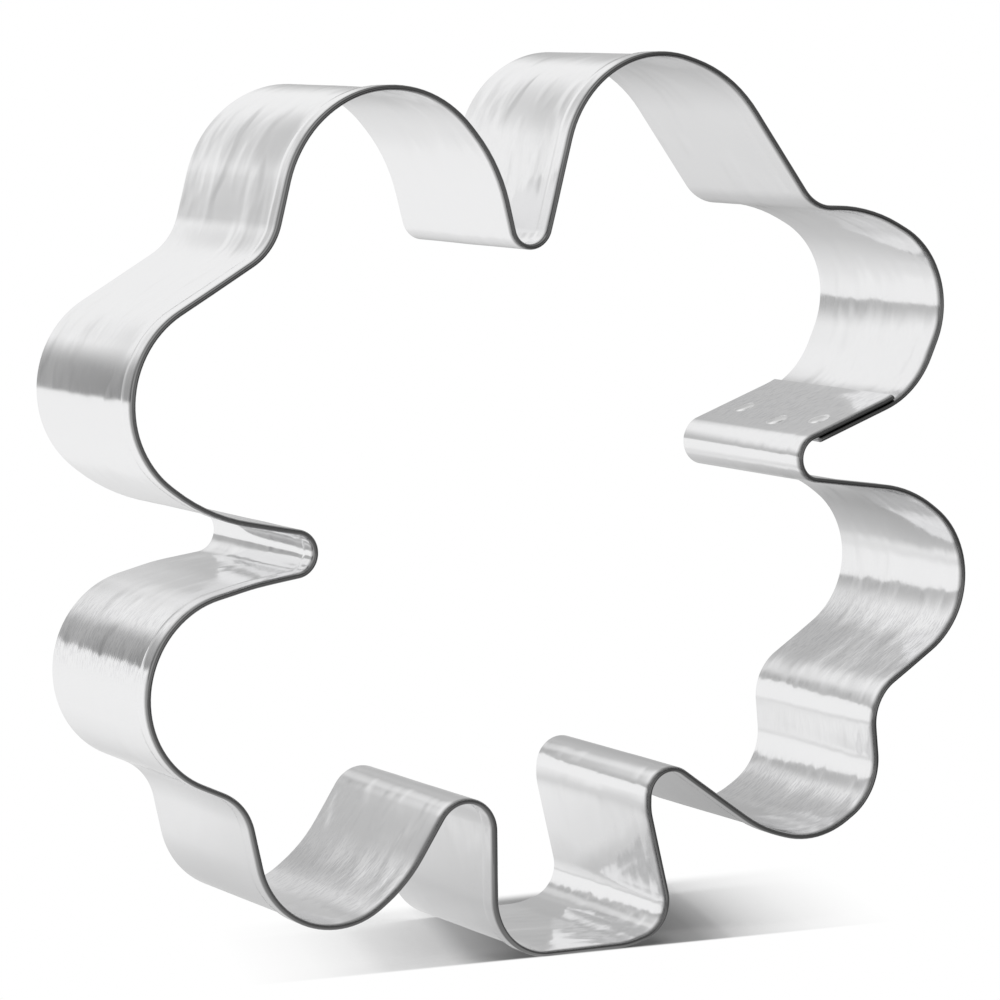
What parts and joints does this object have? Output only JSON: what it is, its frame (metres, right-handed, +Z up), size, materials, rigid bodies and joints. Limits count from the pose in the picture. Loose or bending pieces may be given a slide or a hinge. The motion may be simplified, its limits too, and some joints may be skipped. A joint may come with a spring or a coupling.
{
  "type": "cookie cutter",
  "caption": "Clover-shaped cookie cutter: one hemmed strip of bright tinplate bent to a leafy outline with a stem, its ends lapped and spot welded.",
  "frame": {"origin": "on the ground that the stem's foot stands on, midway across the clover and midway in the band's depth", "axes": "+X to the right as seen from the hemmed rim, +Y from the hemmed rim to the cutting edge, +Z up from the stem's foot to the leaves"},
  "size_m": [0.0982, 0.022, 0.0909],
  "materials": {
    "tinplate": "bright, finely brushed along the strip",
    "weld": "bright, dished by the electrodes"
  },
  "bodies": {
    "root": {"formed_strip": "tinplate", "spot_welds": "weld"}
  },
  "joints": []
}
